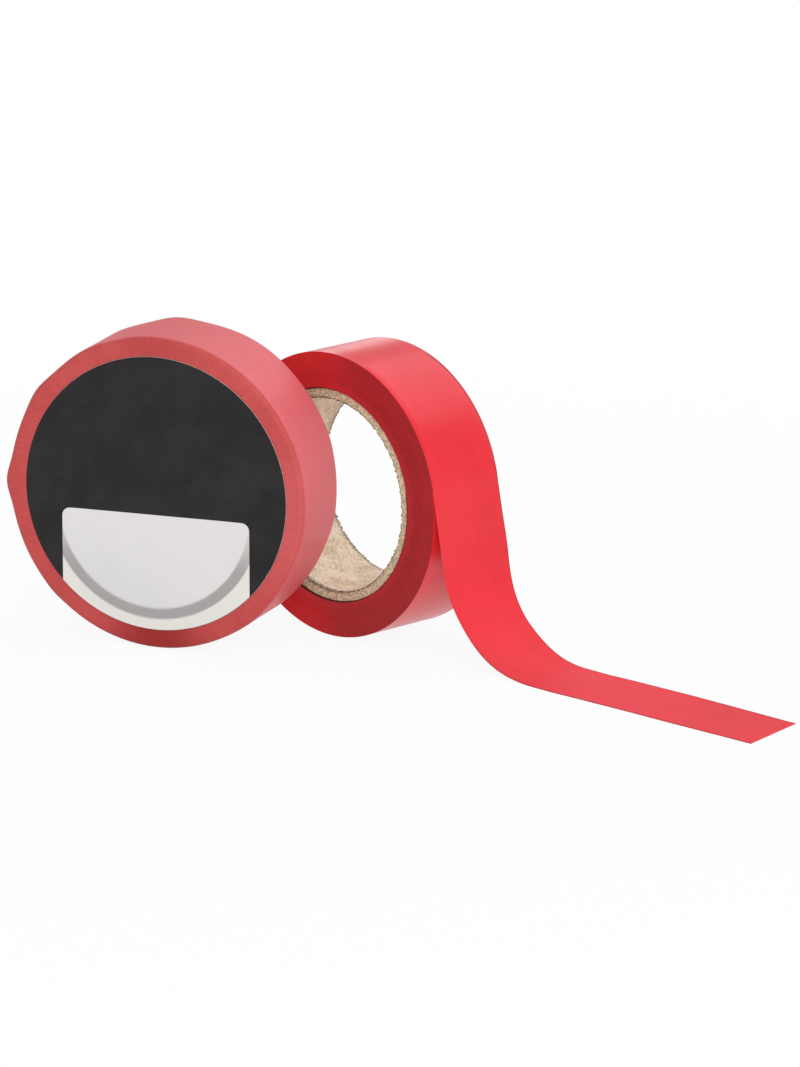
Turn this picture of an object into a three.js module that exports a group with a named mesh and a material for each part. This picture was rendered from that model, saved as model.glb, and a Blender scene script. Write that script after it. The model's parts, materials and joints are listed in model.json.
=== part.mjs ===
// Two rolls of red PVC electrical tape, each standing on its rim: one sealed in shrink film with a
// round label over its bore, and one opened, with a free tail that hangs off the roll and lies on
// the surface. Millimetres, +Z up. +X is the way the tail runs, +Y is the opened roll's axis.
// The origin is the middle of the whole set's box, on the surface that it stands on.
import * as THREE from "three";

// ---- driving dimensions ------------------------------------------------------------------------
const roundSegments = 72; // facets round a full circle, a multiple of 4
const cornerSegments = 3; // facets in a rounded corner
const bendSegments = 24; // facets in the tail's bend and in the sticker's round edges

// tape
const tapeWidth = 18;
const tapeThickness = 0.15;
const tapeLength = 10000; // a new roll
const turnGap = 0.009; // air between the turns of a new roll

// core, a tube wound from three plies of board
const coreBoreRadius = 19.1;
const plyThickness = 0.6;
const glueLine = 0.05;
const coreInset = 0.1; // each end of the core lies this far inside the tape's side face
const plyNames = ["inner_ply", "middle_ply", "outer_ply"];

// opened roll
const openedRadius = 28.3;
const windingClearance = 0.1; // between the core and the first turn

// free tail of the opened roll
const peelClearance = 0.1; // between the winding and the turn that leaves it
const peelAngle = THREE.MathUtils.degToRad(10.7); // above the axis's height, where the tape leaves
const bendRadius = 23.1; // centre line of the bend down onto the surface
const hingeGap = 0.3; // between the bend and the flat end that lifts off the surface
const flatLength = 56.1; // flat end, along its longer edge
const cutSkew = 5.4; // how much shorter the flat end's other edge is

// sealed roll
const packCornerRadius = 1; // the film draws in the edges of the outer turns
const filmClearance = 0.05;
const filmThickness = 0.08;
const filmEdgeMargin = 0.6; // the film stops this far outside the core, open in the middle
const labelRadius = 27.1;
const labelThickness = 0.12;
const laminateClearance = 0.05; // film to label, and label to sticker
const stickerHalfWidth = 19.5;
const stickerTop = -4.2; // below the label's centre
const stickerCornerRadius = 1.6;
const stickerMargin = 0.1; // inside the label's rim
const stickerThickness = 0.08;

// how the two rolls stand
const sealedTurn = THREE.MathUtils.degToRad(24.2); // the sealed roll's axis from the opened one's
const sealedOffset = -17.2; // along +X, from the opened roll's axis to the sealed roll's front
const rollGap = 1.25; // between the sealed roll's rim and the opened roll's side face

// ---- derived sizes -----------------------------------------------------------------------------
const plyPitch = plyThickness + glueLine;
const coreRadius = coreBoreRadius + plyNames.length * plyPitch - glueLine;
const windingBoreRadius = coreRadius + windingClearance;
// a flat spiral of tape fills the ring between the core and the last turn
const turnPitch = tapeThickness + turnGap;
const fullRadius = Math.sqrt(coreRadius ** 2 + (tapeLength * turnPitch) / Math.PI);
const filmStandOff = filmClearance + filmThickness;
const filmRadius = fullRadius + filmStandOff;
const filmOpeningRadius = coreRadius + filmEdgeMargin;
const labelBack = -filmStandOff - laminateClearance;
const labelFront = labelBack - labelThickness;
const sealedDepth = tapeWidth + filmStandOff; // from the label side of the tape to the back film
const sealedReach = sealedDepth * Math.cos(sealedTurn) + filmRadius * Math.sin(sealedTurn);

// ---- materials ---------------------------------------------------------------------------------
function finish(color, roughness) {
  return new THREE.MeshStandardMaterial({ color, roughness, metalness: 0 });
}

const looks = {
  board: () => finish(0xc9ab86, 0.95),
  tape: () => finish(0xe0262c, 0.42),
  film: () => finish(0xdd7079, 0.55),
  label: () => finish(0x2c2a2b, 0.45),
  sticker: () => finish(0xe6e5e6, 0.5),
};

// ---- shapes ------------------------------------------------------------------------------------
function named(name, geometry, material) {
  const mesh = new THREE.Mesh(geometry, material);
  mesh.name = name;
  return mesh;
}

// A closed outline of [radius, depth] points, turned about the roll's axis, the local Y.
function turned(outline) {
  const points = outline.map(([radius, depth]) => new THREE.Vector2(radius, depth));
  return new THREE.LatheGeometry([...points, points[0].clone()], roundSegments);
}

function ring(innerRadius, outerRadius, front, back) {
  return turned([
    [innerRadius, front],
    [outerRadius, front],
    [outerRadius, back],
    [innerRadius, back],
  ]);
}

// Points of a quarter-round corner in the [radius, depth] plane.
function corner(centreRadius, centreDepth, size, fromAngle) {
  return Array.from({ length: cornerSegments + 1 }, (_, step) => {
    const angle = fromAngle + (step / cornerSegments) * (Math.PI / 2);
    return [centreRadius + size * Math.cos(angle), centreDepth + size * Math.sin(angle)];
  });
}

// The outer side of the sealed pack, front to back, grown outwards by an offset.
function packSide(offset) {
  const centreRadius = fullRadius - packCornerRadius;
  const size = packCornerRadius + offset;
  return [
    ...corner(centreRadius, packCornerRadius, size, -Math.PI / 2),
    ...corner(centreRadius, tapeWidth - packCornerRadius, size, 0),
  ];
}

// ---- sub-parts ---------------------------------------------------------------------------------
function core(prefix) {
  return plyNames.map((plyName, index) => {
    const inner = coreBoreRadius + index * plyPitch;
    const tube = ring(inner, inner + plyThickness, coreInset, tapeWidth - coreInset);
    return named(`${prefix}_core_${plyName}`, tube, looks.board());
  });
}

function openWinding() {
  const pack = ring(windingBoreRadius, openedRadius, 0, tapeWidth);
  return named("open_winding", pack, looks.tape());
}

function sealedWinding() {
  const pack = turned([[windingBoreRadius, 0], ...packSide(0), [windingBoreRadius, tapeWidth]]);
  return named("sealed_winding", pack, looks.tape());
}

// A band of film round the pack, folded over both sides and open in the middle of each.
function shrinkFilm() {
  const outside = packSide(filmStandOff);
  const inside = packSide(filmClearance).reverse();
  const skin = turned([
    [filmOpeningRadius, -filmStandOff],
    ...outside,
    [filmOpeningRadius, tapeWidth + filmStandOff],
    [filmOpeningRadius, tapeWidth + filmClearance],
    ...inside,
    [filmOpeningRadius, -filmClearance],
  ]);
  return named("shrink_film", skin, looks.film());
}

function labelDisc() {
  const disc = turned([
    [0, labelFront],
    [labelRadius, labelFront],
    [labelRadius, labelBack],
    [0, labelBack],
  ]);
  return named("label_disc", disc, looks.label());
}

// A panel with straight sides and a round lower edge that follows the label's rim.
function labelSticker() {
  const rim = labelRadius - stickerMargin;
  const sideAngle = Math.acos(stickerHalfWidth / rim);
  const cornerX = stickerHalfWidth - stickerCornerRadius;
  const cornerY = stickerTop - stickerCornerRadius;
  const outline = new THREE.Shape();
  outline.absarc(0, 0, rim, Math.PI + sideAngle, 2 * Math.PI - sideAngle, false);
  outline.absarc(cornerX, cornerY, stickerCornerRadius, 0, Math.PI / 2, false);
  outline.absarc(-cornerX, cornerY, stickerCornerRadius, Math.PI / 2, Math.PI, false);
  outline.closePath();
  const settings = { depth: stickerThickness, bevelEnabled: false, curveSegments: bendSegments };
  const mesh = named("label_sticker", new THREE.ExtrudeGeometry(outline, settings), looks.sticker());
  mesh.rotation.x = Math.PI / 2; // the outline stands up, and its thickness runs to the front
  mesh.position.y = labelFront - laminateClearance;
  return mesh;
}

// ---- the free tail -----------------------------------------------------------------------------
// Its centre line leaves the roll along a tangent, bends round onto the surface and lies flat.
const peelRadius = openedRadius + peelClearance + tapeThickness / 2;
const peelStart = new THREE.Vector2(Math.cos(peelAngle), Math.sin(peelAngle))
  .multiplyScalar(peelRadius)
  .add(new THREE.Vector2(0, openedRadius));
const hangDirection = new THREE.Vector2(Math.sin(peelAngle), -Math.cos(peelAngle));
const bendCentreHeight = bendRadius + tapeThickness / 2;
const bendStartHeight = bendCentreHeight - bendRadius * Math.sin(peelAngle);
const hangLength = (peelStart.y - bendStartHeight) / Math.cos(peelAngle);
const bendStart = peelStart.clone().addScaledVector(hangDirection, hangLength);
const bendCentreX = bendStart.x + bendRadius * Math.cos(peelAngle);

function tailCurve() {
  const half = tapeThickness / 2;
  const towardsRoll = new THREE.Vector2(-Math.cos(peelAngle), -Math.sin(peelAngle));
  const underside = peelStart.clone().addScaledVector(towardsRoll, half);
  const topside = peelStart.clone().addScaledVector(towardsRoll, -half);
  const startAngle = Math.PI + peelAngle;
  const endAngle = 1.5 * Math.PI;
  const outline = new THREE.Shape();
  outline.moveTo(topside.x, topside.y);
  outline.lineTo(underside.x, underside.y);
  outline.absarc(bendCentreX, bendCentreHeight, bendRadius + half, startAngle, endAngle, false);
  outline.absarc(bendCentreX, bendCentreHeight, bendRadius - half, endAngle, startAngle, true);
  outline.closePath();
  const settings = { depth: tapeWidth, bevelEnabled: false, curveSegments: bendSegments };
  const mesh = named("tail_curve", new THREE.ExtrudeGeometry(outline, settings), looks.tape());
  mesh.rotation.x = Math.PI / 2; // the outline stands up in XZ, and the width runs along Y
  mesh.position.y = tapeWidth;
  return mesh;
}

// The flat end lies on the surface and is cut off at a slant.
function tailEnd() {
  const start = bendCentreX + hingeGap;
  const outline = new THREE.Shape();
  outline.moveTo(start, 0);
  outline.lineTo(start + flatLength, 0);
  outline.lineTo(start + flatLength - cutSkew, tapeWidth);
  outline.lineTo(start, tapeWidth);
  outline.closePath();
  const strip = new THREE.ExtrudeGeometry(outline, { depth: tapeThickness, bevelEnabled: false });
  return named("tail_end", strip, looks.tape());
}

// ---- assembly ----------------------------------------------------------------------------------
const openedRoll = new THREE.Group();
openedRoll.add(...core("open"), openWinding());
openedRoll.position.z = openedRadius;

const sealedRoll = new THREE.Group();
sealedRoll.add(...core("sealed"), sealedWinding(), shrinkFilm(), labelDisc(), labelSticker());
sealedRoll.rotation.z = sealedTurn;
sealedRoll.position.set(sealedOffset, -sealedReach - rollGap, filmRadius);

const pair = new THREE.Group();
pair.add(openedRoll, tailCurve(), tailEnd(), sealedRoll);
pair.updateMatrixWorld(true);
const middle = new THREE.Box3().setFromObject(pair, true).getCenter(new THREE.Vector3());
pair.position.set(-middle.x, -middle.y, 0);

export default pair;
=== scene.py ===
"""Looks for a pair of electrical tape rolls: one sealed in shrink film, one opened with a free tail.

Meshes are made in each roll's own axes, in millimetres: across to the right, in along the roll's
axis from its near side face, and up. Angles go round from the right over the top.
"""
import json
import math

import bmesh
import bpy
import numpy as np
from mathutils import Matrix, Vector


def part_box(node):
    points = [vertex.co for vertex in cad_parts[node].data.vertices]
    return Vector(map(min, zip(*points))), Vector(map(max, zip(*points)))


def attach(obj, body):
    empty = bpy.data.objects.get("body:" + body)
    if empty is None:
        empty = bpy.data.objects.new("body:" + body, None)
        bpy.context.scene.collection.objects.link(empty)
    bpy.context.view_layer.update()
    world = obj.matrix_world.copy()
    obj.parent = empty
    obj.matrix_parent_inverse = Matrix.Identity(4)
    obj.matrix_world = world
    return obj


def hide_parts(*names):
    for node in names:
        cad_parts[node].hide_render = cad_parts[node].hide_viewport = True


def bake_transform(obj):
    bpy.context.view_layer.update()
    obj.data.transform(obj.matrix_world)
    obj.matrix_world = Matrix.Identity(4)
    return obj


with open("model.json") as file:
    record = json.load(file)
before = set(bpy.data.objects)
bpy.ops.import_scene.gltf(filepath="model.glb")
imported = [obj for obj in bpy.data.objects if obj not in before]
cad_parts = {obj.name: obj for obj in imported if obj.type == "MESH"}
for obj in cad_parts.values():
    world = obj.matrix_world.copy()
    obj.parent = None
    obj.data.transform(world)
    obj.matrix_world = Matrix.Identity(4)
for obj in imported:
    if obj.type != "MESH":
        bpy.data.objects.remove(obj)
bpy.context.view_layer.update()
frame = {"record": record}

MM = 0.001
FULL = 2 * math.pi

# ---- sizes of the real tape, in millimetres ----------------------------------------------------
TAPE_THICKNESS = 0.15
PLY_THICKNESS = 0.6
WINDING_CLEARANCE = 0.1  # from the core to the first turn
PEEL_ANGLE = math.radians(10.7)  # where the tape leaves the opened roll, above its axis
BEND_RADIUS = 23.1  # of the tail's bend down onto the floor
FILM_THICKNESS = 0.08
FILM_EDGE_MARGIN = 0.6  # the film stops this far outside the core
SHOULDER_RADIUS = 1.0  # of the pack's edges under the film
LABEL_THICKNESS = 0.12
LAMINATE_CLEARANCE = 0.05  # from the film to the label, and from the label to its panel
STICKER_THICKNESS = 0.08
STICKER_HALF_WIDTH = 19.5
STICKER_CORNER = 1.6  # radius of its two upper corners
TAIL_CUT_SKEW = 3.1  # the far edge of the tail is this much shorter


# ---- where things are, from the frame ----------------------------------------------------------
class Place:
    """A roll's own axes. origin is the middle of its near side face, in row millimetres."""

    def __init__(self, origin, axis):
        self.origin = np.array(origin, float)
        self.inward = np.array(axis, float)
        self.up = np.array((0.0, 0.0, 1.0))
        self.across = np.cross(self.inward, self.up)

    def row(self, local):
        """[across, in, up] millimetres as row metres."""
        axes = np.stack((self.across, self.inward, self.up))
        return (self.origin + local @ axes) * MM


def box_mm(node):
    low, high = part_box(node)
    return np.array(low) / MM, np.array(high) / MM


def outer_radius(node):
    low, high = box_mm(node)
    return (high[2] - low[2]) / 2


def mount(name):
    return next(m for m in frame["record"]["mounts"] if m["name"] == name)


open_low, open_high = box_mm("open_winding")
tape_width = open_high[1] - open_low[1]
opened_radius = outer_radius("open_winding")
opened_place = Place(((open_low[0] + open_high[0]) / 2, open_low[1], opened_radius), (0, 1, 0))

film_low, film_high = box_mm("shrink_film")
film_radius = outer_radius("shrink_film")
film_middle = (film_low + film_high) / 2
sealed_axis = np.array(mount("sealed_back_side")["axis"], float)
sealed_back = np.array(mount("sealed_back_side")["pos_m"]) / MM
film_stand_off = (sealed_back - film_middle) @ sealed_axis - tape_width / 2
sealed_place = Place(film_middle - sealed_axis * tape_width / 2, sealed_axis)
sealed_radius = film_radius - film_stand_off

core_radius = outer_radius("open_core_outer_ply")
winding_bore = core_radius + WINDING_CLEARANCE
core_inset = box_mm("open_core_inner_ply")[0][1] - open_low[1]

label_radius = outer_radius("label_disc")
label_back = -film_stand_off - LAMINATE_CLEARANCE  # in from the near side face, so below zero
label_front = label_back - LABEL_THICKNESS
sticker_front = label_front - LAMINATE_CLEARANCE - STICKER_THICKNESS
sticker_low, sticker_high = box_mm("label_sticker")
sticker_rim = sealed_place.origin[2] - sticker_low[2]
sticker_top = sticker_high[2] - sealed_place.origin[2]

tail_end_low, tail_end_high = box_mm("tail_end")
tail_hinge = (box_mm("tail_curve")[1][0] + tail_end_low[0]) / 2
tail_reach = tail_end_high[0] - opened_place.origin[0]


# ---- smooth unevenness, the same at each run -----------------------------------------------------
def wobble(angle, seed, slowest, fastest):
    """Unevenness round a circle, about 1 high, of whole waves per turn from slowest to fastest."""
    rng = np.random.default_rng(seed)
    total = np.zeros_like(angle, dtype=float)
    waves = range(slowest, fastest + 1)
    for wave in waves:
        size, phase = rng.normal(), rng.uniform(0, FULL)
        total += size * np.cos(wave * angle + phase)
    return total / math.sqrt(len(waves))


def drift(position, seed, step):
    """Unevenness along a line, about 1 high, with a new random height every step."""
    rng = np.random.default_rng(seed)
    at = np.asarray(position, float) / step
    start = math.floor(at.min())
    heights = rng.normal(size=int(at.max()) - start + 3)
    index = np.floor(at).astype(int) - start
    share = at - np.floor(at)
    share = share * share * (3 - 2 * share)
    return heights[index] * (1 - share) + heights[index + 1] * share


def ease(value, start, end):
    """0 before start, 1 after end, and smooth between."""
    share = np.clip((value - start) / (end - start), 0, 1)
    return share * share * (3 - 2 * share)


def hump(angle, at, wide):
    """1 at that many degrees round the roll, and fading away over wide degrees on both sides."""
    away = ((np.degrees(angle) - at + 180) % 360 - 180) / wide
    return np.exp(-(away**2))


# ---- meshes ------------------------------------------------------------------------------------
SHARP_ANGLE = math.radians(50)  # edges that turn more than this aren't shaded smooth


def make_piece(name, place, local, faces, looks, body, nodes, look_index=None, extra=None):
    """A mesh piece that rides on body and stands for nodes. local is [across, in, up] in mm.

    look_index gives each face's number in looks, and extra gives named values for each point.
    """
    local = np.asarray(local, float)
    mesh = bpy.data.meshes.new(name)
    mesh.from_pydata(place.row(local).tolist(), [], faces)
    for look in looks:
        mesh.materials.append(look)
    if look_index is not None:
        mesh.polygons.foreach_set("material_index", look_index)
    attributes = {"local": local, **(extra or {})}
    for key, values in attributes.items():
        kind, field = ("FLOAT_VECTOR", "vector") if np.ndim(values) == 2 else ("FLOAT", "value")
        stored = mesh.attributes.new(key, kind, "POINT")
        stored.data.foreach_set(field, np.asarray(values, np.float32).ravel())
    tidy = bmesh.new()
    tidy.from_mesh(mesh)
    bmesh.ops.recalc_face_normals(tidy, faces=tidy.faces)
    tidy.to_mesh(mesh)
    tidy.free()
    mesh.polygons.foreach_set("use_smooth", [True] * len(mesh.polygons))
    mesh.set_sharp_from_angle(angle=SHARP_ANGLE)
    piece = bpy.data.objects.new(name, mesh)
    bpy.context.scene.collection.objects.link(piece)
    if body:
        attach(piece, body)
    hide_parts(*nodes)
    return piece


def polar(radius, angle, depth):
    """[across, in, up] of points at that radius, angle and depth."""
    radius, angle, depth = np.broadcast_arrays(radius, angle, depth)
    points = (radius * np.cos(angle), depth, radius * np.sin(angle))
    return np.stack(points, axis=-1)


def grid_faces(first, rows, columns, wrap):
    """Quads of a grid of rows by columns whose corner numbers start at first."""
    faces = []
    for row in range(rows - 1):
        here = first + row * columns
        for column in range(columns if wrap else columns - 1):
            after = (column + 1) % columns
            faces.append((here + column, here + after, here + columns + after, here + columns + column))
    return faces


def turned_ring(rows, segments):
    """A closed ring of rows of points, each [segments, 3] round the roll. The last joins the first."""
    local = np.concatenate(rows)
    faces = grid_faces(0, len(rows), segments, wrap=True)
    last = (len(rows) - 1) * segments
    for column in range(segments):
        after = (column + 1) % segments
        faces.append((last + column, last + after, after, column))
    return local, faces


def thin_sheet_faces(rows, columns):
    """Quads of a thin sheet's two sides, each rows by columns points, and those of its cut edge."""
    count = rows * columns
    sides = grid_faces(0, rows, columns, wrap=False) + grid_faces(count, rows, columns, wrap=False)
    border = list(range(columns))
    border += [row * columns + columns - 1 for row in range(1, rows)]
    border += [(rows - 1) * columns + column for column in range(columns - 2, -1, -1)]
    border += [row * columns for row in range(rows - 2, 0, -1)]
    following = border[1:] + border[:1]
    edge = [(here, there, count + there, count + here) for here, there in zip(border, following)]
    return sides, edge


# ---- materials ---------------------------------------------------------------------------------
class Look:
    """A material's node tree, with short names for the nodes used here."""

    def __init__(self, name, roughness, **settings):
        self.material = bpy.data.materials.new(name)
        self.material.use_nodes = True
        self.tree = self.material.node_tree
        self.shader = self.tree.nodes["Principled BSDF"]
        self.shader.inputs["Roughness"].default_value = roughness
        for socket, value in settings.items():
            self.shader.inputs[socket.replace("_", " ")].default_value = value

    def node(self, kind, **inputs):
        made = self.tree.nodes.new(kind)
        for key, value in inputs.items():
            self.feed(made.inputs[key.replace("_", " ")], value)
        return made

    def feed(self, socket, value):
        if isinstance(value, bpy.types.NodeSocket):
            self.tree.links.new(value, socket)
        else:
            socket.default_value = value

    def local(self):
        """The point in the roll's own axes, in millimetres."""
        return self.attribute("local").outputs["Vector"]

    def attribute(self, name):
        made = self.tree.nodes.new("ShaderNodeAttribute")
        made.attribute_name = name
        return made

    def stretched(self, vector, scale):
        made = self.node("ShaderNodeMapping", Vector=vector)
        made.inputs["Scale"].default_value = scale
        return made.outputs["Vector"]

    def noise(self, vector, scale, detail=3.0, roughness=0.55):
        made = self.node(
            "ShaderNodeTexNoise", Vector=vector, Scale=scale, Detail=detail, Roughness=roughness
        )
        return made.outputs["Fac"]

    def split(self, vector):
        return self.node("ShaderNodeSeparateXYZ", Vector=vector).outputs

    def maths(self, operation, first, second=0.0):
        made = self.tree.nodes.new("ShaderNodeMath")
        made.operation = operation
        self.feed(made.inputs[0], first)
        self.feed(made.inputs[1], second)
        return made.outputs["Value"]

    def weighted(self, *parts):
        """The sum of (value, weight) pairs."""
        total = self.maths("MULTIPLY", *parts[0])
        for part in parts[1:]:
            total = self.maths("ADD", total, self.maths("MULTIPLY", *part))
        return total

    def band(self, value, start, end, low=0.0, high=1.0):
        """Goes smoothly from low to high as value goes from start to end."""
        made = self.tree.nodes.new("ShaderNodeMapRange")
        made.interpolation_type = "SMOOTHSTEP"
        self.feed(made.inputs["Value"], value)
        for key, number in (("From Min", start), ("From Max", end), ("To Min", low), ("To Max", high)):
            made.inputs[key].default_value = number
        return made.outputs["Result"]

    def mix(self, share, first, second):
        made = self.tree.nodes.new("ShaderNodeMix")
        made.data_type = "RGBA"
        self.feed(made.inputs[0], share)
        for socket, value in ((made.inputs[6], first), (made.inputs[7], second)):
            self.feed(socket, value if isinstance(value, bpy.types.NodeSocket) else (*value, 1))
        return made.outputs[2]

    def bump(self, height, distance, normal=None, strength=1.0):
        made = self.node("ShaderNodeBump", Height=height)
        made.inputs["Strength"].default_value = strength
        made.inputs["Distance"].default_value = distance
        if normal is not None:
            self.feed(made.inputs["Normal"], normal)
        return made.outputs["Normal"]

    def finish(self, colour=None, roughness=None, normal=None):
        for key, value in (("Base Color", colour), ("Roughness", roughness), ("Normal", normal)):
            if value is not None:
                self.feed(self.shader.inputs[key], value)
        return self.material


def tape_face_look():
    """The smooth outer side of PVC tape: faint cloudiness, calender streaks and a fine grain."""
    look = Look("tape_face", 0.36, Specular_IOR_Level=0.5)
    strip = look.attribute("strip").outputs["Vector"]
    local = look.local()
    streaks = look.noise(look.stretched(strip, (0.02, 0.7, 1)), 1.0, 1)
    cloud = look.noise(local, 0.05, 2)
    swell = look.noise(look.stretched(local, (0.15, 0.05, 0.15)), 1.0, 1)
    grain = look.noise(local, 5.0, 2)
    uneven = look.band(look.weighted((streaks, 0.25), (cloud, 0.75)), 0.38, 0.62)
    colour = look.mix(uneven, (0.75, 0.016, 0.029), (0.81, 0.020, 0.037))
    # painted shade: a dark line along the tape's edges
    rim = look.attribute("rim").outputs["Fac"]
    colour = look.mix(look.band(rim, 0.08, 0.42, 0.6, 0.0), colour, (0.30, 0.012, 0.016))
    # the pull dulls the tape that has come off the roll
    dulled = look.band(look.split(strip)["X"], 0.0, 24.0, 0.25, 0.62)
    roughness = look.maths("ADD", dulled, look.maths("MULTIPLY", streaks, 0.08))
    normal = look.bump(swell, 0.00025, strength=0.5)
    normal = look.bump(grain, 0.000005, normal, 0.5)
    return look.finish(colour, roughness, normal)


def tape_side_look():
    """The wound edges of the tape: a ring for each turn, some a little paler or darker, and painted
    light and shade across the face.
    """
    look = Look("tape_side", 0.55, Specular_IOR_Level=0.3)
    place = look.split(look.local())
    squares = [look.maths("MULTIPLY", place[axis], place[axis]) for axis in ("X", "Z")]
    radius = look.maths("SQRT", look.maths("ADD", *squares))
    rings = look.node("ShaderNodeCombineXYZ", X=radius, Y=0.0, Z=0.0).outputs["Vector"]
    wide = look.noise(rings, 0.9, 2)
    narrow = look.noise(rings, 4.2, 3, 0.7)
    smear = look.noise(look.local(), 0.12, 3)
    uneven = look.band(look.weighted((wide, 0.35), (narrow, 0.25), (smear, 0.4)), 0.36, 0.64)
    pale = look.mix(uneven, (0.66, 0.010, 0.014), (0.76, 0.013, 0.018))
    painted_shade_red = look.mix(uneven, (0.31, 0.009, 0.012), (0.39, 0.012, 0.016))
    # painted light and shade: paler towards the left, darker towards the right
    light_and_shade_slant = look.maths("SUBTRACT", place["X"], look.maths("MULTIPLY", place["Z"], 0.05))
    colour = look.mix(look.band(light_and_shade_slant, -14.0, 10.0), pale, painted_shade_red)
    # an evener red on the first turns, and painted shadow, nearly black, in the gap at the core
    colour = look.mix(look.band(radius, 21.5, 22.4, 0.3, 0.0), colour, (0.62, 0.012, 0.018))
    colour = look.mix(look.band(radius, 21.2, 21.45, 0.85, 0.0), colour, (0.07, 0.004, 0.004))
    roughness = look.band(narrow, 0.3, 0.7, 0.46, 0.58)
    normal = look.bump(narrow, 0.000015, strength=0.5)
    return look.finish(colour, roughness, normal)


def board_look():
    """Brown chipboard: fibres and specks, soft cloudiness, and darker torn ends."""
    look = Look("core_board", 0.92, Specular_IOR_Level=0.2)
    local = look.local()
    fibres = look.noise(look.stretched(local, (1.2, 2.4, 1.2)), 1.0, 6, 0.65)
    specks = look.noise(local, 7.0, 4, 0.7)
    cloud = look.noise(local, 0.28, 3)
    wall = look.mix(look.band(fibres, 0.32, 0.68), (0.60, 0.44, 0.29), (1.0, 0.90, 0.74))
    wall = look.mix(look.band(cloud, 0.40, 0.62, 0.0, 0.55), wall, (1.0, 0.89, 0.73))
    wall = look.mix(look.band(cloud, 0.30, 0.46, 0.4, 0.0), wall, (0.66, 0.47, 0.31))
    wall = look.mix(look.band(specks, 0.64, 0.74, 0.0, 0.6), wall, (0.28, 0.18, 0.10))
    flecks = look.band(look.noise(local, 1.7, 4, 0.7), 0.40, 0.62)
    sawn = look.mix(flecks, (0.44, 0.36, 0.23), (0.80, 0.68, 0.48))
    colour = look.mix(look.attribute("end").outputs["Fac"], wall, sawn)
    # loose dark fibres, crowded at the cut edge and fewer away from it
    torn = look.attribute("torn").outputs["Fac"]
    fuzz = look.noise(look.stretched(local, (5.0, 2.6, 5.0)), 1.0, 3, 0.65)
    crowding = look.maths("ADD", fuzz, look.maths("MULTIPLY", torn, 0.24))
    frayed = look.maths("MULTIPLY", look.band(crowding, 0.60, 0.73), look.band(torn, 0.0, 0.3))
    colour = look.mix(look.maths("MULTIPLY", frayed, 0.9), colour, (0.09, 0.062, 0.036))
    normal = look.bump(fibres, 0.00010, strength=0.4)
    normal = look.bump(specks, 0.00005, normal, 0.7)
    return look.finish(colour, None, normal)


def film_look():
    """Milky shrink film over red tape: paler where it stands off, redder where it lies tight and where
    shade is painted.
    """
    look = Look("film", 0.50, Specular_IOR_Level=0.32)
    local = look.local()
    cloud = look.noise(local, 0.11, 3)
    drawn = look.noise(look.stretched(local, (0.5, 0.12, 0.5)), 1.0, 3, 0.5)
    grain = look.noise(local, 6.0, 3)
    pleats = look.noise(look.attribute("pleat").outputs["Vector"], 1.0, 4, 0.6)
    uneven = look.weighted((cloud, 0.5), (pleats, 0.5))
    patchy = look.band(uneven, 0.35, 0.65)
    pale = look.mix(patchy, (0.74, 0.140, 0.162), (0.78, 0.160, 0.182))
    tight = look.mix(patchy, (0.485, 0.057, 0.054), (0.545, 0.073, 0.071))
    milk = look.attribute("milk").outputs["Fac"]
    # the least milky, darkest red also paints the shade at the bottom of the flanges
    colour = look.mix(look.band(milk, 0.0, 0.5), (0.31, 0.016, 0.014), tight)
    colour = look.mix(look.band(milk, 0.5, 1.0), colour, pale)
    roughness = look.band(uneven, 0.3, 0.7, 0.45, 0.56)
    on_side = look.attribute("side").outputs["Fac"]
    normal = look.bump(drawn, 0.00005, strength=0.5)
    normal = look.bump(look.maths("MULTIPLY", pleats, on_side), 0.00022, normal, 0.6)
    normal = look.bump(grain, 0.000006, normal, 0.5)
    return look.finish(colour, roughness, normal)


def label_look():
    """Coated label paper, plain charcoal, with the faint creases of paper drawn tight."""
    look = Look("label_charcoal", 0.50, Specular_IOR_Level=0.3)
    local = look.local()
    cloud = look.noise(local, 0.10, 3)
    crease = look.noise(look.stretched(local, (0.35, 1, 0.9)), 1.0, 3)
    grain = look.noise(local, 9.0, 2)
    press = look.attribute("press").outputs["Fac"]
    colour = look.mix(look.band(cloud, 0.3, 0.7), (0.008, 0.007, 0.007), (0.016, 0.014, 0.014))
    # painted shade on the ring where the label dips over the core's rim
    colour = look.mix(look.band(press, 0.1, 1.0, 0.0, 0.6), colour, (0.007, 0.006, 0.006))
    roughness = look.band(crease, 0.3, 0.7, 0.44, 0.58)
    normal = look.bump(crease, 0.00005, strength=0.5)
    normal = look.bump(grain, 0.000006, normal, 0.5)
    return look.finish(colour, roughness, normal)


def sticker_look():
    """Plain white coated paper, with a grey ring of painted shade where it dips over the core's rim."""
    look = Look("sticker_white", 0.45, Specular_IOR_Level=0.4)
    local = look.local()
    cloud = look.noise(local, 0.12, 3)
    grain = look.noise(local, 8.0, 3)
    place = look.split(local)
    # painted shade over the bore, darker towards the lower left
    light_and_shade_slant = look.maths("ADD", look.maths("MULTIPLY", place["X"], 0.5), place["Z"])
    over_bore = look.mix(look.band(light_and_shade_slant, -25.0, -13.0), (0.66, 0.65, 0.67), (0.715, 0.69, 0.69))
    paper = look.mix(look.attribute("inside").outputs["Fac"], (0.745, 0.725, 0.675), over_bore)
    paper = look.mix(look.band(cloud, 0.3, 0.7, 0.0, 0.2), paper, (0.70, 0.70, 0.71))
    # painted shade: a grey ring where the panel dips over the core's rim
    colour = look.mix(look.attribute("press").outputs["Fac"], paper, (0.36, 0.343, 0.343))
    normal = look.bump(grain, 0.000006, strength=0.5)
    return look.finish(colour, None, normal)


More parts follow.
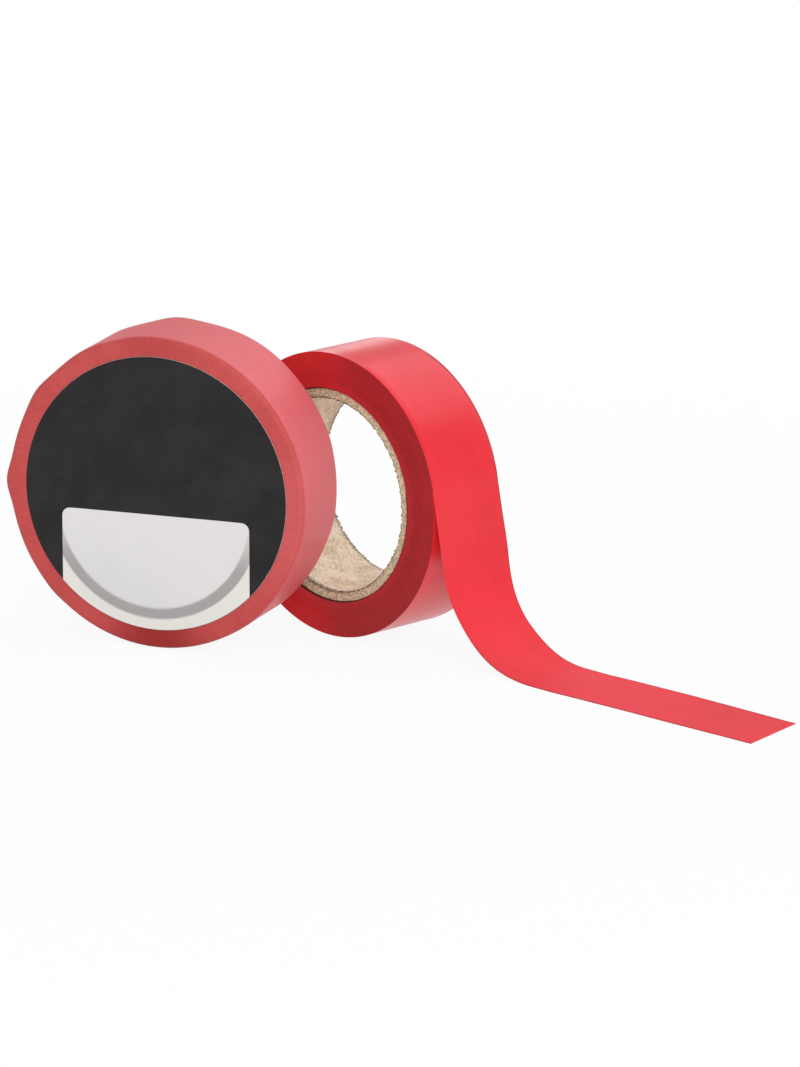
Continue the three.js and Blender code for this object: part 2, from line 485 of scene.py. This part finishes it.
def paper_edge_look():
    """The cut edge of label paper."""
    look = Look("paper_edge", 0.8)
    fibres = look.noise(look.local(), 5.0, 4)
    colour = look.mix(look.band(fibres, 0.35, 0.65), (0.50, 0.46, 0.45), (0.72, 0.70, 0.69))
    return look.finish(colour, None, look.bump(fibres, 0.00002, strength=0.6))


tape_face = tape_face_look()
tape_side = tape_side_look()
core_board = board_look()
shrink_film = film_look()
label_charcoal = label_look()
sticker_white = sticker_look()
paper_edge = paper_edge_look()


# ---- winding -----------------------------------------------------------------------------------
GROOVE_DEPTH = 0.015  # between one turn's edge and the next
FIRST_TURNS = 10  # turns next to the core that may climb out of the side face towards it
OUTER_ROWS = 10  # across the outer surface
STRIP_LEVEL = 0.5  # third coordinate of the strip's pattern, the same all over the tape


def edge_wander(turns, angle, climb, seed):
    """How far each turn's edge stands out of the side face, in mm, at that many turns out."""
    slow = 0.022 * drift(turns, seed, 7.0)
    quick = 0.006 * drift(turns, seed + 1, 1.3)
    round_about = 0.010 * wobble(angle, seed + 2, 1, 5) * drift(turns, seed + 3, 5.0)
    return slow + quick + round_about + climb * np.maximum(1 - turns / FIRST_TURNS, 0)


def side_quads(groove, low, high, steps, segments):
    """Quads of a wound side face: up from each groove, over the crest and down to the next groove."""
    faces = []
    for here in range(steps):
        there = here + 1
        out = groove + here + segments
        faces.append((groove + here, groove + there, low + there, low + here))
        faces.append((low + here, low + there, high + there, high + here))
        faces.append((high + here, high + there, out + 1, out))
    return faces


def outer_rows(near_edge, far_edge, seed):
    """Rows of points across the last turn, a little uneven between its near edge and its far one."""
    columns = len(near_edge)
    place = np.arange(columns)
    angle = PEEL_ANGLE - place / (columns - 1) * FULL
    settled = ease(place, 0, 12) * (1 - ease(place, columns - 14, columns - 1))
    rows = []
    for share in np.linspace(0, 1, OUTER_ROWS + 2)[1:-1]:
        press = 0.010 * wobble(angle + 0.4 * share, seed, 6, 16) - 0.02
        rows.append(near_edge * (1 - share) + far_edge * share + polar(press * settled, angle, 0))
    return rows


def outer_quads(rows, segments):
    """Quads of the last turn between rows of points, and of the step where the tape leaves it."""
    faces = []
    for here, there in zip(rows, rows[1:]):
        for c in range(segments):
            faces.append((here + c, here + c + 1, there + c + 1, there + c))
    for here, there in zip(rows[1:], rows[2:-1]):
        faces.append((here, there, there + segments, here + segments))
    return faces


def winding(name, place, radius, shoulder, climb, segments, seed, body, node, shape):
    """Tape wound in a flat spiral, one turn's edge beside the next on both sides.

    Each turn is segments steps long. The spiral grows clockwise, as seen from the near side, and
    ends at the peel angle. shoulder is the radius of the pack's two outer edges, and climb is how
    far the first turn stands out of the side face. shape(angle) is how far the outer turns are
    pressed in. All are in mm.
    """
    turns = round((radius - winding_bore) / TAPE_THICKNESS)
    pitch = (radius - winding_bore) / turns
    groove_count = turns * segments + 1
    last = (turns - 1) * segments  # the step at which the last turn starts
    step = np.arange(groove_count)

    def row(share, count, side, depth_in):
        """Points along the spiral, share of a pitch out from the groove, on one side face."""
        at = step[:count] / segments + share
        angle = PEEL_ANGLE - step[:count] / segments * FULL
        reach = winding_bore + pitch * at
        over = np.clip(reach - (radius - shoulder), 0, shoulder)
        rounded = shoulder - np.sqrt(shoulder**2 - over**2)
        reach = reach + shape(angle) * ((reach - winding_bore) / (radius - winding_bore)) ** 2
        stand = edge_wander(at, angle, climb, seed + 10 * side) - depth_in
        stand = stand * (over == 0) - rounded
        depth = tape_width + stand if side else -stand
        return polar(reach, angle, depth)

    points, faces, first = [], [], {}

    def add(key, values):
        first[key] = sum(len(p) for p in points)
        points.append(values)

    for side in (0, 1):
        add((side, "groove"), row(0.0, groove_count, side, GROOVE_DEPTH))
        add((side, "low"), row(0.25, last + 1, side, 0.0))
        add((side, "high"), row(0.75, last + 1, side, 0.0))
    for number, values in enumerate(outer_rows(points[0][last:], points[3][last:], seed + 50)):
        add(("outer", number), values)

    for side in (0, 1):
        groove, low, high = (first[side, key] for key in ("groove", "low", "high"))
        faces += side_quads(groove, low, high, last, segments)
    side_count = len(faces)

    # the outer surface, between the last turn's two edges
    near, far = first[0, "groove"] + last, first[1, "groove"] + last
    rows = [near, *(first["outer", number] for number in range(OUTER_ROWS)), far]
    faces += outer_quads(rows, segments)
    for side, edge, inner in ((0, near, rows[1]), (1, far, rows[-2])):
        low, high = first[side, "low"] + last, first[side, "high"] + last
        faces.append((edge, low, high, edge + segments, inner + segments, inner))
    outer_count = len(faces) - side_count

    # the first turn, round the core, and the step where the tape starts
    near, far = first[0, "groove"], first[1, "groove"]
    for c in range(segments):
        faces.append((near + c, near + c + 1, far + c + 1, far + c))
    start = [near, first[0, "low"], first[0, "high"], near + segments]
    start += [far + segments, first[1, "high"], first[1, "low"], far]
    faces.append(tuple(start))

    look_index = [1] * side_count + [0] * outer_count + [1] * (segments + 1)
    local = np.concatenate(points)
    angle = np.arctan2(local[:, 2], local[:, 0])
    run_back = np.mod(angle - PEEL_ANGLE, FULL)
    strip = np.stack((-radius * run_back, local[:, 1], np.full(len(local), STRIP_LEVEL)), axis=-1)
    extra = {"strip": strip, "rim": np.clip(tape_width - local[:, 1], 0, 9)}
    return make_piece(
        name, place, local, faces, [tape_face, tape_side], body, [node], look_index,
        extra,
    )


# ---- core --------------------------------------------------------------------------------------
PLY_LAP = 0.022  # each ply is this much thicker than its solid, so that the glued plies look joined
END_REACH = 1.6  # from the cut end to where the wall of the bore is even


def core_ply(name, place, inner, outer, frayed, seed, body, node):
    """One ply of the board tube. The saw leaves a ragged edge on the bore's ply, where frayed is 1."""
    segments = 600 if frayed else 300
    angle = np.arange(segments) / segments * FULL
    rows, torn, end = [], [], []

    def add(row, is_torn, is_end):
        rows.append(row)
        torn.append(np.full(segments, is_torn * frayed))
        end.append(np.full(segments, is_end))

    def near_end(radius, side, share, is_torn):
        """A row beside one cut end. share is how far in it lies: 0 is the cut end itself."""
        saw = 0.025 * wobble(angle, seed + side, 30, 110) + 0.04 * wobble(angle, seed + side + 5, 2, 9)
        tuft = np.maximum(wobble(angle, seed + side + 9, 60, 190) - 0.5, 0) * 0.22 * frayed * is_torn
        rough = 0.10 * wobble(angle, seed + side + 13, 40, 190) * frayed * is_torn
        cut = core_inset + (saw - tuft + rough) * (1 - share)
        inset = np.maximum(cut, -0.3) + share * END_REACH
        return polar(radius, angle, tape_width - inset if side else inset)

    burr = 0.11 * frayed * wobble(angle, seed + 20, 50, 180)
    nick = 0.30 * frayed * np.maximum(wobble(angle, seed + 22, 12, 70) - 0.7, 0)
    dent = 0.05 * frayed * wobble(angle, seed + 21, 2, 7)
    middle = (inner + outer) / 2
    # radius, share of the reach in from the end, how torn, and 1 on the sawn end face
    edges = (
        (outer, 0.5, 0.0, 1.0),
        (outer, 0.02, 0.15, 1.0),
        (middle, 0.0, 0.6, 1.0),
        (inner + 0.16 * frayed + burr + nick, 0.03, 1.0, 1.0),
        (inner + 0.4 * burr + 0.6 * nick + dent, 0.16, 0.9, 0.3),
        (inner + 0.1 * burr + dent, 0.42, 0.62, 0.0),
        (inner + dent, 0.70, 0.28, 0.0),
        (inner + dent, 1.0, 0.0, 0.0),
    )
    for radius, share, is_torn, is_end in edges:
        add(near_end(radius, 0, share, is_torn), is_torn, is_end)
    for share in (0.25, 0.5, 0.75):
        add(polar(inner + dent, angle, tape_width * share), 0.0, 0.0)
    for radius, share, is_torn, is_end in edges[::-1]:
        add(near_end(radius, 1, share, is_torn), is_torn, is_end)
    local, faces = turned_ring(rows, segments)
    extra = {"torn": np.concatenate(torn), "end": np.concatenate(end)}
    return make_piece(
        name, place, local, faces, [core_board], body, [node], extra=extra,
    )


def core(prefix, place, seed, body):
    """The three plies of one roll's core."""
    for number, ply in enumerate(("inner", "middle", "outer")):
        node = f"{prefix}_core_{ply}_ply"
        name = f"{prefix}_core_{ply}_board"
        outer = outer_radius(node) + PLY_LAP
        inner = outer_radius(node) - PLY_THICKNESS - PLY_LAP
        frayed = 1.0 if ply == "inner" else 0.0
        core_ply(name, place, inner, outer, frayed, seed + 100 * number, body, node)


# ---- tail --------------------------------------------------------------------------------------
TAIL_LAP = 3.0  # the strip starts this far back on the roll, flush with its last turn
FLUSH = 0.004  # that its face lies above the last turn's
BEND_RAMP = 6.0  # over which the bend tightens and opens again
TAIL_PITCH = 0.4  # between the points along the bend
TAIL_ROWS = 15  # across the strip
TUCK = 0.11  # each edge of the strip lies this far in on the roll, whose edges are rounded


def bend_headings():
    """The strip's heading at each step round the bend, which tightens and opens smoothly."""
    turn = math.pi / 2 - PEEL_ANGLE
    length = turn * BEND_RADIUS + BEND_RAMP
    along = np.arange(0, length + TAIL_PITCH / 2, TAIL_PITCH)
    tightness = ease(along, 0, BEND_RAMP) * (1 - ease(along, length - BEND_RAMP, length))
    return -turn + turn * np.cumsum(tightness) / tightness.sum()


def tail_route():
    """The strip's middle line as points [across, up] and headings, and its lengths from the peel."""
    bend = bend_headings()
    start_radius = opened_radius + FLUSH - TAPE_THICKNESS / 2
    start = np.array((math.cos(PEEL_ANGLE), math.sin(PEEL_ANGLE))) * start_radius
    down = np.array((math.sin(PEEL_ANGLE), -math.cos(PEEL_ANGLE)))
    floor = TAPE_THICKNESS / 2 - opened_radius
    bend_drop = -np.sum(np.sin(bend)) * TAIL_PITCH
    hang_length = (start[1] - floor - bend_drop) / math.cos(PEEL_ANGLE)
    lengths = list(np.linspace(0, hang_length, 40))
    points = [start + length * down for length in lengths]
    headings = [PEEL_ANGLE - math.pi / 2] * len(lengths)
    for heading in bend:
        step = np.array((math.cos(heading), math.sin(heading)))
        points.append(points[-1] + TAIL_PITCH * step)
        headings.append(heading)
        lengths.append(lengths[-1] + TAIL_PITCH)
    for across in np.linspace(points[-1][0], tail_reach, 90)[1:]:
        lengths.append(lengths[-1] + across - points[-1][0])
        points.append(np.array((across, floor)))
        headings.append(0.0)
    lap = np.linspace(TAIL_LAP, 0, 8)[:-1]
    back = [PEEL_ANGLE + length / start_radius for length in lap]
    points = [start_radius * np.array((math.cos(a), math.sin(a))) for a in back] + points
    headings = [a - math.pi / 2 for a in back] + headings
    lengths = [-length for length in lap] + lengths
    return np.array(points), np.array(headings), np.array(lengths)


def pulled_narrower(lengths):
    """How much narrower the strip is than the tape: the pull that took it off the roll stretched it."""
    return 1.4 * ease(lengths, 12, 30) + 0.6 * ease(lengths, 75, lengths[-1])


def tail_side(points, headings, lengths, layer):
    """One side of the strip: its points, their places along the tape, and how near a rim they are.

    layer is 1 on the outer, backing side, which faces up on the floor, and -1 on the other.
    """
    normal = np.stack((-np.sin(headings), np.cos(headings)), axis=-1)
    hinge = tail_hinge - opened_place.origin[0]
    on_floor = ease(points[:, 0], hinge - 6, hinge + 4)
    hanging = ease(lengths, 0, 14) * (1 - on_floor)
    narrower = pulled_narrower(lengths)
    tucked = TUCK * (1 - ease(lengths, 0, 12))
    local, strip, rim = [], [], []
    for share in np.arange(TAIL_ROWS) / (TAIL_ROWS - 1):
        curl = 0.10 * (2 * share - 1) ** 4
        ripple = 0.07 * drift(lengths + 40 * share, 70, 9.0) + 0.05 * drift(lengths, 71, 16.0)
        rest = on_floor * np.abs(0.06 * drift(lengths + 25 * share, 72, 12.0) + 0.05 * curl)
        offset = layer * TAPE_THICKNESS / 2 + hanging * (curl + ripple) + rest
        skew = TAIL_CUT_SKEW * share * ease(lengths, lengths[-1] - 30, lengths[-1])
        across = points[:, 0] + normal[:, 0] * offset - skew
        up = points[:, 1] + normal[:, 1] * offset
        depth = tucked + share * (tape_width - narrower - 2 * tucked)
        local.append(np.stack((across, depth, up), axis=-1))
        strip.append(np.stack((lengths - skew, depth, np.full(len(lengths), STRIP_LEVEL)), axis=-1))
        near_rim = share * tape_width + 2 * (1 - ease(lengths, 14, 36))
        rim.append(np.minimum(near_rim, (1 - share) * tape_width))
    return np.concatenate(local), np.concatenate(strip), np.concatenate(rim)


def tail():
    """The free end of the tape, one strip from the roll to its slanted cut."""
    points, headings, lengths = tail_route()
    sides = [tail_side(points, headings, lengths, layer) for layer in (1, -1)]
    local, strip, rim = (np.concatenate(parts) for parts in zip(*sides))
    side_faces, edge_faces = thin_sheet_faces(TAIL_ROWS, len(lengths))
    piece = make_piece(
        "free_tail", opened_place, local, side_faces + edge_faces, [tape_face], None,
        ["tail_curve", "tail_end"], extra={"strip": strip, "rim": rim},
    )
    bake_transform(piece)
    return piece


# ---- sealed roll -------------------------------------------------------------------------------
# Creases of the film, which stand off the pack: degrees round, mm high near and far, degrees wide.
FILM_CREASES = (
    (20, 0.05, 0.20, 9),
    (60, 0.05, 0.32, 14),
    (94, 0.15, 0.50, 8),
    (120, 0.25, 0.40, 9),
    (144, 0.42, 0.25, 7),
    (180, 0.88, 0.35, 6.5),
    (224, 0.15, 0.10, 5),
    (310, 0.12, 0.18, 8),
    (348, 0.05, 0.15, 6),
)


def film_outline(angle, share):
    """How far the film's outside stands off the pack's round outline, share of the way to the back."""
    off_floor = 1 - hump(angle, 270, 30)
    outline = -0.12 * off_floor + 0.02 * wobble(angle, 31, 5, 17) * off_floor
    for at, near, far, wide in FILM_CREASES:
        outline = outline + (near * (1 - share) + far * share) * hump(angle, at, wide)
    return outline


def pressed_in(angle):
    """How far the sealed pack's outer turns are pressed in under the film."""
    return np.minimum(film_outline(angle, 0.5), 0) - 0.02


def not_pressed(angle):
    return np.zeros_like(angle)


def band_milk(angle):
    """How milky the film's band is: less milky, so darker, over the top."""
    return 1 - 0.2 * hump(angle, 90, 35)


def flange_and_shoulder(angle, side, offset):
    """Rows of one side of a skin, from the opening out to the band: radius, depth and milkiness."""
    behind = float(side)
    opening = core_radius + FILM_EDGE_MARGIN
    centre_radius = sealed_radius - SHOULDER_RADIUS
    outline = film_outline(angle, behind)
    pleat = wobble(angle, 41, 24, 70)
    buckle = wobble(angle, 42, 7, 22)
    scallop = 0.22 * wobble(angle, 43, 5, 24)
    # painted shade: less milky, so darker, at the bottom of the flanges near the floor, where the film
    # also lies tight, and a little at the top
    tight = 0.45 * (hump(angle, 270, 20) + 0.35 * hump(angle, 90, 16))
    slack = 0.19 * hump(angle, -8, 36)
    rows = []
    for share in np.linspace(0, 1, 12):
        reach = opening + (centre_radius - opening) * share + scallop * (1 - share) ** 2
        curl = 0.35 * (1 - share) ** 6 * behind
        fold = 0.012 * pleat * share**3 + 0.03 * buckle * share * (0.4 + 0.6 * behind)
        stand = offset + np.maximum(curl + fold, -0.02)
        depth = tape_width + stand if side else -stand
        rows.append((reach + outline * share**3, depth, 0.55 - 0.08 * share - tight + slack))
    for share in np.linspace(0, 1, 9)[1:]:
        bend = share * math.pi / 2
        size = SHOULDER_RADIUS + offset
        fold = 0.012 * pleat * (1 - share) ** 2
        reach = centre_radius + size * math.sin(bend) + outline
        out = size * math.cos(bend) - SHOULDER_RADIUS + fold
        depth = tape_width + out if side else -out
        turned = float(ease(share, 0.5, 0.95))
        milk = (0.47 - tight + slack) * (1 - turned) + band_milk(angle) * turned
        rows.append((reach, depth, milk))
    return rows


def film_skin(angle, offset):
    """Rows of one skin of the film, near opening to far opening, offset mm off the pack."""
    rows = flange_and_shoulder(angle, 0, offset)
    for share in np.linspace(0, 1, 15)[1:-1]:
        depth = SHOULDER_RADIUS + (tape_width - 2 * SHOULDER_RADIUS) * share
        sag = 0.05 * 4 * share * (1 - share) * (0.6 + 0.4 * wobble(angle, 44, 3, 9))
        reach = sealed_radius + offset + film_outline(angle, share) - np.maximum(sag, 0)
        rows.append((reach, depth, band_milk(angle)))
    return rows + flange_and_shoulder(angle, 1, offset)[::-1]


def film():
    """Shrink film round the roll: a band, two soft shoulders and a flange on each side."""
    segments = 360
    angle = np.arange(segments) / segments * FULL
    outside = film_skin(angle, film_stand_off)
    inside = film_skin(angle, film_stand_off - FILM_THICKNESS)[::-1]
    rows = [polar(reach, angle, depth) for reach, depth, milk in outside + inside]
    milk = np.concatenate([milk for reach, depth, milk in outside + inside])
    local, faces = turned_ring(rows, segments)
    around = np.tile(np.stack((np.cos(angle), np.sin(angle)), axis=-1), (len(rows), 1))
    reach = np.hypot(local[:, 0], local[:, 2])
    beyond_side = np.abs(local[:, 1] - tape_width / 2) - tape_width / 2
    extra = {
        "milk": milk,
        "pleat": np.stack((around[:, 0] * 40, around[:, 1] * 40, reach * 0.22), axis=-1),
        "side": ease(beyond_side, -0.6, -0.1),
    }
    return make_piece(
        "film_wrap", sealed_place, local, faces, [shrink_film], "sealed_roll", ["shrink_film"],
        extra=extra,
    )


# The label dips over the core's rim in a ring, a little off the label's own middle, painted greyer as
# shade.
PRESS_CENTRE = np.array((-0.4, -2.9))
PRESS_INNER = 19.85
PRESS_OUTER = 21.95


def press_radius(across, up):
    return np.hypot(across - PRESS_CENTRE[0], up - PRESS_CENTRE[1])


def label_relief(across, up):
    """How far the label lies back from flat, in mm: dished over the bore, with a ring at its rim."""
    reach = press_radius(across, up)
    dish = 0.17 * (1 - ease(reach, 15.0, PRESS_INNER + 0.5))
    ring = -0.035 * np.exp(-(((reach - (PRESS_INNER + PRESS_OUTER) / 2) / 0.7) ** 2))
    slack = 0.02 * np.sin(across * 0.33 + 0.8) * np.sin(up * 0.27)
    slack = slack + 0.012 * np.sin(up * 0.9 + across * 0.5)
    return dish + ring + slack * (1 - ease(np.hypot(across, up), 22, 26))


def painted_ring_shade_mask(across, up):
    """1 on the ring of painted shade where the label dips over the core's rim, fading out towards the
    top.
    """
    reach = press_radius(across, up)
    on_ring = ease(reach, PRESS_INNER - 0.25, PRESS_INNER + 0.25)
    on_ring *= 1 - ease(reach, PRESS_OUTER - 0.15, PRESS_OUTER + 0.2)
    below = ease(PRESS_CENTRE[1] - up, 1.0, 12.0)
    return on_ring * (0.12 + 0.88 * below)


LABEL_ROUND = 0.03  # the cut edge of the label is this much rounded at the front
LABEL_RIM = 0.05  # the outermost line of the edge lies this far in front of the back


def label():
    """A thin round label over the side of the roll and its bore."""
    segments = 240
    angle = np.arange(segments) / segments * FULL
    radii = [*np.linspace(1.0, 14.0, 12), *np.linspace(14.6, label_radius - 0.3, 56)]

    def row(reach, depth):
        flat = polar(reach, angle, 0)
        return polar(reach, angle, depth + label_relief(flat[:, 0], flat[:, 2]))

    front = [row(reach, label_front) for reach in [*radii, label_radius - LABEL_ROUND]]
    back = [row(label_radius, label_back - LABEL_RIM)]
    back += [row(reach, label_back) for reach in radii[::-1]]
    local = np.concatenate(front + back)
    faces = grid_faces(0, len(front + back), segments, wrap=True)
    look_index = [0] * ((len(front) - 1) * segments) + [1] * (len(back) * segments)
    last = len(local) - segments
    faces.append(tuple(range(segments)))
    faces.append(tuple(range(last, last + segments)))
    look_index += [0, 1]
    return make_piece(
        "round_label", sealed_place, local, faces, [label_charcoal, paper_edge], "sealed_roll",
        ["label_disc"], look_index, {"press": painted_ring_shade_mask(local[:, 0], local[:, 2])},
    )


def sticker():
    """The white panel on the lower part of the label, whose lower edge follows the label's rim."""
    columns, rows = 161, 81
    across = STICKER_HALF_WIDTH * np.sin(np.linspace(-1, 1, columns) * math.pi / 2)
    bottom = -np.sqrt(sticker_rim**2 - across**2)
    into_corner = np.maximum(np.abs(across) - (STICKER_HALF_WIDTH - STICKER_CORNER), 0)
    drop = STICKER_CORNER - np.sqrt(np.maximum(STICKER_CORNER**2 - into_corner**2, 0))
    top = sticker_top - drop
    share = (1 - np.cos(np.linspace(0, math.pi, rows))) / 2
    up = bottom[None, :] + (top - bottom)[None, :] * share[:, None]
    wide = np.broadcast_to(across, up.shape)
    front = sticker_front + label_relief(wide, up)
    layers = [np.stack((wide, front + thick, up), axis=-1) for thick in (0.0, STICKER_THICKNESS)]
    local = np.concatenate([layer.reshape(-1, 3) for layer in layers])
    side_faces, edge_faces = thin_sheet_faces(rows, columns)
    look_index = [0] * len(side_faces) + [1] * len(edge_faces)
    reach = press_radius(local[:, 0], local[:, 2])
    extra = {
        "press": painted_ring_shade_mask(local[:, 0], local[:, 2]),
        "inside": 1 - ease(reach, PRESS_INNER - 0.3, PRESS_INNER + 0.3),
    }
    return make_piece(
        "white_panel", sealed_place, local, side_faces + edge_faces, [sticker_white, paper_edge],
        "sealed_roll", ["label_sticker"], look_index, extra,
    )


winding(
    "opened_turns", opened_place, opened_radius, shoulder=0.12, climb=0.35, segments=180, seed=1,
    body="opened_roll", node="open_winding", shape=not_pressed,
)
winding(
    "sealed_turns", sealed_place, sealed_radius, shoulder=SHOULDER_RADIUS, climb=0.0, segments=120,
    seed=5, body="sealed_roll", node="sealed_winding", shape=pressed_in,
)
core("open", opened_place, seed=200, body="opened_roll")
core("sealed", sealed_place, seed=600, body="sealed_roll")
tail()
film()
label()
sticker()


# ---- floor, light and camera -------------------------------------------------------------------
def shown_white(tree, plain, others):
    """How much plain white to mix in: plain, for rays from the camera or of the others kinds."""
    path = tree.nodes.new("ShaderNodeLightPath")
    rays = path.outputs["Is Camera Ray"]
    for name in others:
        larger = tree.nodes.new("ShaderNodeMath")
        larger.operation = "MAXIMUM"
        tree.links.new(rays, larger.inputs[0])
        tree.links.new(path.outputs[name], larger.inputs[1])
        rays = larger.outputs["Value"]
    share = tree.nodes.new("ShaderNodeMath")
    share.operation = "MULTIPLY"
    tree.links.new(rays, share.inputs[0])
    if isinstance(plain, bpy.types.NodeSocket):
        tree.links.new(plain, share.inputs[1])
    else:
        share.inputs[1].default_value = plain
    return share.outputs["Value"]


def make_floor():
    """A wide pale floor that keeps a faint shadow near the object and is plain white farther out."""
    half = 6.0  # of its width, in metres
    corners = [(-half, -half, 0), (half, -half, 0), (half, half, 0), (-half, half, 0)]
    mesh = bpy.data.meshes.new("floor")
    mesh.from_pydata(corners, [], [(0, 1, 2, 3)])
    material = bpy.data.materials.new("floor_white")
    material.use_nodes = True
    tree = material.node_tree
    surface = tree.nodes["Principled BSDF"]
    surface.inputs["Base Color"].default_value = (0.88, 0.88, 0.88, 1)
    surface.inputs["Roughness"].default_value = 0.9
    place = tree.nodes.new("ShaderNodeTexCoord")
    reach = tree.nodes.new("ShaderNodeVectorMath")
    reach.operation = "LENGTH"
    tree.links.new(place.outputs["Object"], reach.inputs[0])
    plain = tree.nodes.new("ShaderNodeMapRange")
    plain.interpolation_type = "SMOOTHSTEP"
    for key, number in (("From Min", 0.10), ("From Max", 0.35), ("To Min", 0.92), ("To Max", 1.0)):
        plain.inputs[key].default_value = number
    tree.links.new(reach.outputs["Value"], plain.inputs["Value"])
    white = tree.nodes.new("ShaderNodeEmission")
    white.inputs["Color"].default_value = (1, 1, 1, 1)
    blend = tree.nodes.new("ShaderNodeMixShader")
    tree.links.new(shown_white(tree, plain.outputs["Result"], ["Is Glossy Ray"]), blend.inputs["Fac"])
    tree.links.new(surface.outputs["BSDF"], blend.inputs[1])
    tree.links.new(white.outputs["Emission"], blend.inputs[2])
    tree.links.new(blend.outputs["Shader"], tree.nodes["Material Output"].inputs["Surface"])
    mesh.materials.append(material)
    floor = bpy.data.objects.new("floor", mesh)
    bpy.context.scene.collection.objects.link(floor)


def make_world():
    """Even white light all round, and plain white behind the object."""
    world = bpy.data.worlds.new("studio")
    bpy.context.scene.world = world
    world.use_nodes = True
    tree = world.node_tree
    even = tree.nodes["Background"]
    even.inputs["Color"].default_value = (1, 1, 1, 1)
    even.inputs["Strength"].default_value = 0.54
    white = tree.nodes.new("ShaderNodeBackground")
    white.inputs["Color"].default_value = (1, 1, 1, 1)
    white.inputs["Strength"].default_value = 1.0
    blend = tree.nodes.new("ShaderNodeMixShader")
    tree.links.new(shown_white(tree, 1.0, []), blend.inputs["Fac"])
    tree.links.new(even.outputs["Background"], blend.inputs[1])
    tree.links.new(white.outputs["Background"], blend.inputs[2])
    tree.links.new(blend.outputs["Shader"], tree.nodes["World Output"].inputs["Surface"])


def place_facing(thing, aim, azimuth, elevation, distance):
    """Puts a lamp or camera at that bearing and distance from aim, turned to face it."""
    a, e = math.radians(azimuth), math.radians(elevation)
    back = Vector((math.sin(a) * math.cos(e), -math.cos(a) * math.cos(e), math.sin(e)))
    thing.location = aim + back * distance
    thing.rotation_mode = "QUATERNION"
    thing.rotation_quaternion = (-back).to_track_quat("-Z", "Y")
    bpy.context.scene.collection.objects.link(thing)


def soft_light(name, azimuth, elevation, distance, size, power):
    """A square soft box aimed at the object, size metres wide."""
    data = bpy.data.lights.new(name, "AREA")
    data.size = size
    data.energy = power
    place_facing(bpy.data.objects.new(name, data), Vector(), azimuth, elevation, distance)


def make_camera():
    """A long lens, from the right and a little above, aimed between the two rolls and the tail."""
    data = bpy.data.cameras.new("camera")
    data.sensor_width = 36
    data.lens = 229.4
    camera = bpy.data.objects.new("camera", data)
    beside_roll = np.array((26.07, -7.22, -1.8))  # in the opened roll's axes
    aim = Vector(opened_place.row(beside_roll).tolist())
    place_facing(camera, aim, azimuth=44.6, elevation=14.17, distance=1.3)
    bpy.context.scene.camera = camera


# azimuth and elevation in degrees, distance and size in metres, and power in watts
SOFT_LIGHTS = (
    ("key", 54, 24, 1.1, 0.7, 5.75),
    ("top", 45, 78, 1.1, 0.8, 1.9),
    ("back", 185, 52, 1.1, 1.0, 2.6),
    ("low_back", 221, 10, 1.1, 0.24, 0.30),
    ("fill", -30, 20, 1.2, 0.9, 0.7),
)

make_floor()
make_world()
for light in SOFT_LIGHTS:
    soft_light(*light)
make_camera()
bpy.context.scene.view_settings.view_transform = "Standard"
